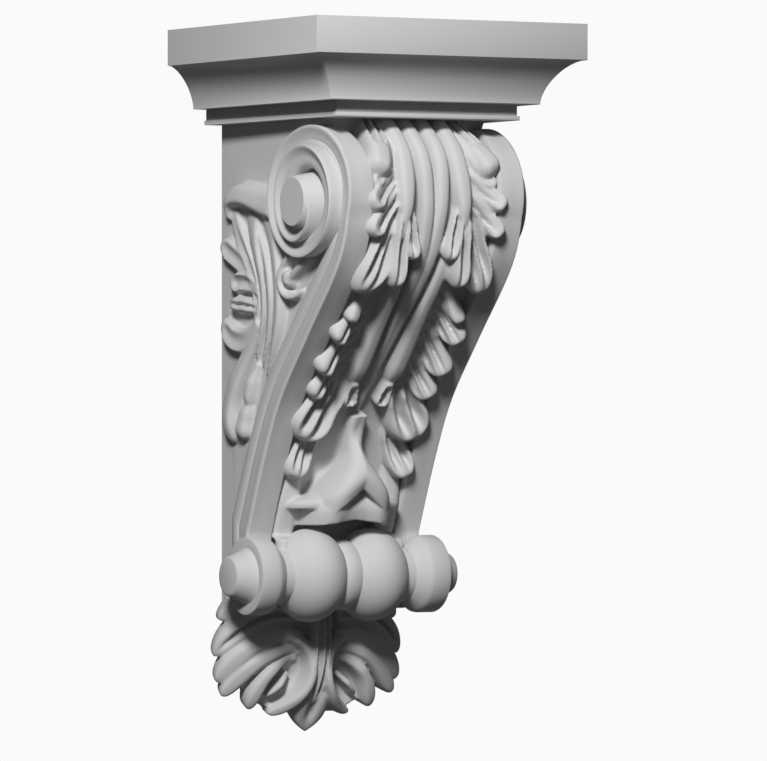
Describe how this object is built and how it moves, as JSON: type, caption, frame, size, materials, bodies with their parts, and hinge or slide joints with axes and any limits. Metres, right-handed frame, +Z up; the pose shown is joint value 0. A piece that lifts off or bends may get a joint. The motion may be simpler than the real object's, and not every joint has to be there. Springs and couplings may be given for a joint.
{
  "type": "decorative corbel",
  "caption": "Cast scroll corbel: a mitred cap over an S-shaped bracket with side volutes, acanthus leaves, a turned roller and a hanging leaf.",
  "frame": {"origin": "centre of the flat back, halfway up the corbel", "axes": "+Z up, +Y into the wall, so the carved front faces -Y"},
  "size_m": [0.154, 0.1525, 0.3552],
  "materials": {
    "primed_casting": "matt off-white primer over a dense moulded foam casting"
  },
  "bodies": {
    "root": {"corbel": "primed_casting"}
  },
  "joints": []
}
